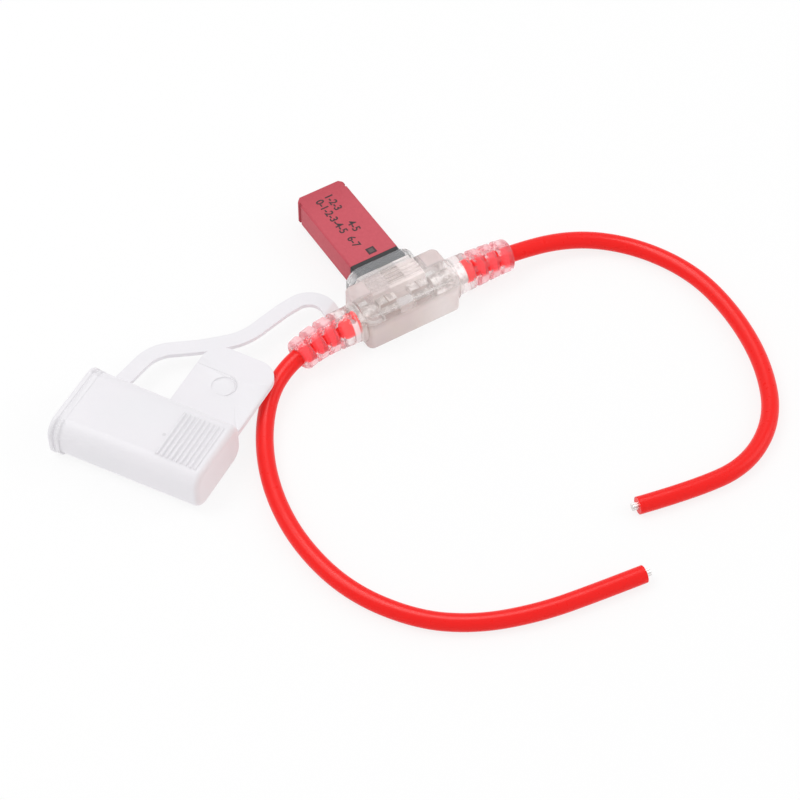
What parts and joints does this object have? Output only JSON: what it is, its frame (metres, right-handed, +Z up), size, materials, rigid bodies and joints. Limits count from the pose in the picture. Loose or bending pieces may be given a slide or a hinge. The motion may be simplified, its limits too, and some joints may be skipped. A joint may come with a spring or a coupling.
{
  "type": "inline fuse holder",
  "caption": "Clear overmoulded holder in a line of red lead, with a plug-in blade breaker, slotted strain reliefs and a frosted cap with finger tab on a flat tether",
  "frame": {"origin": "on the surface the holder lies on, under the point where the line of the leads crosses the middle line of the breaker", "axes": "+X along the two leads, +Y the way the breaker pulls out, +Z up from the surface"},
  "size_m": [0.149, 0.1257, 0.0112],
  "materials": {
    "clear_overmould": "clear soft vinyl with a faint warm tint",
    "clear_insert": "clear rigid plastic, ridged",
    "tinned_brass": "bright tin over brass",
    "spring_steel": "plain strip",
    "tinned_copper": "tinned strands",
    "red_jacket": "glossy bright red vinyl",
    "frosted_cap": "milky translucent, satin",
    "crimson_cover": "satin crimson, slightly translucent",
    "black_base": "satin black",
    "bimetal": "rolled strip",
    "silver_contact": "bright silver"
  },
  "bodies": {
    "holder": {"holder_body": "clear_overmould", "socket_insert": "clear_insert", "left_terminal": "tinned_brass", "right_terminal": "tinned_brass", "left_spring": "spring_steel", "right_spring": "spring_steel", "left_core": "tinned_copper", "right_core": "tinned_copper", "left_lead": "red_jacket", "right_lead": "red_jacket", "left_strand_tip": "tinned_copper", "right_strand_tip": "tinned_copper"},
    "breaker": {"breaker_cover": "crimson_cover", "breaker_base": "black_base", "left_blade": "tinned_brass", "right_blade": "tinned_brass", "fixed_contact": "silver_contact", "arm_rivet": "tinned_brass"},
    "bimetal": {"bimetal_arm": "bimetal", "moving_contact": "silver_contact"},
    "cap": {"cap": "frosted_cap"}
  },
  "joints": [
    {"name": "breaker_pull", "type": "slide", "parent": "holder", "child": "breaker", "axis": [0, 1, 0], "range_m": [0, 0.012]},
    {"name": "bimetal_trip", "type": "hinge", "parent": "breaker", "child": "bimetal", "pos_m": [0.003, 0.0336, 0.00545], "axis": [-1, 0, 0], "range_deg": [0, 2.2], "stiffness_Nm_per_rad": 0.0005, "springref_deg": -3.44},
    {"name": "cap_swing", "type": "hinge", "parent": "holder", "child": "cap", "pos_m": [-0.015, 0.0049, 0.0046], "axis": [0, 1, 0], "range_deg": [0, 90]}
  ]
}
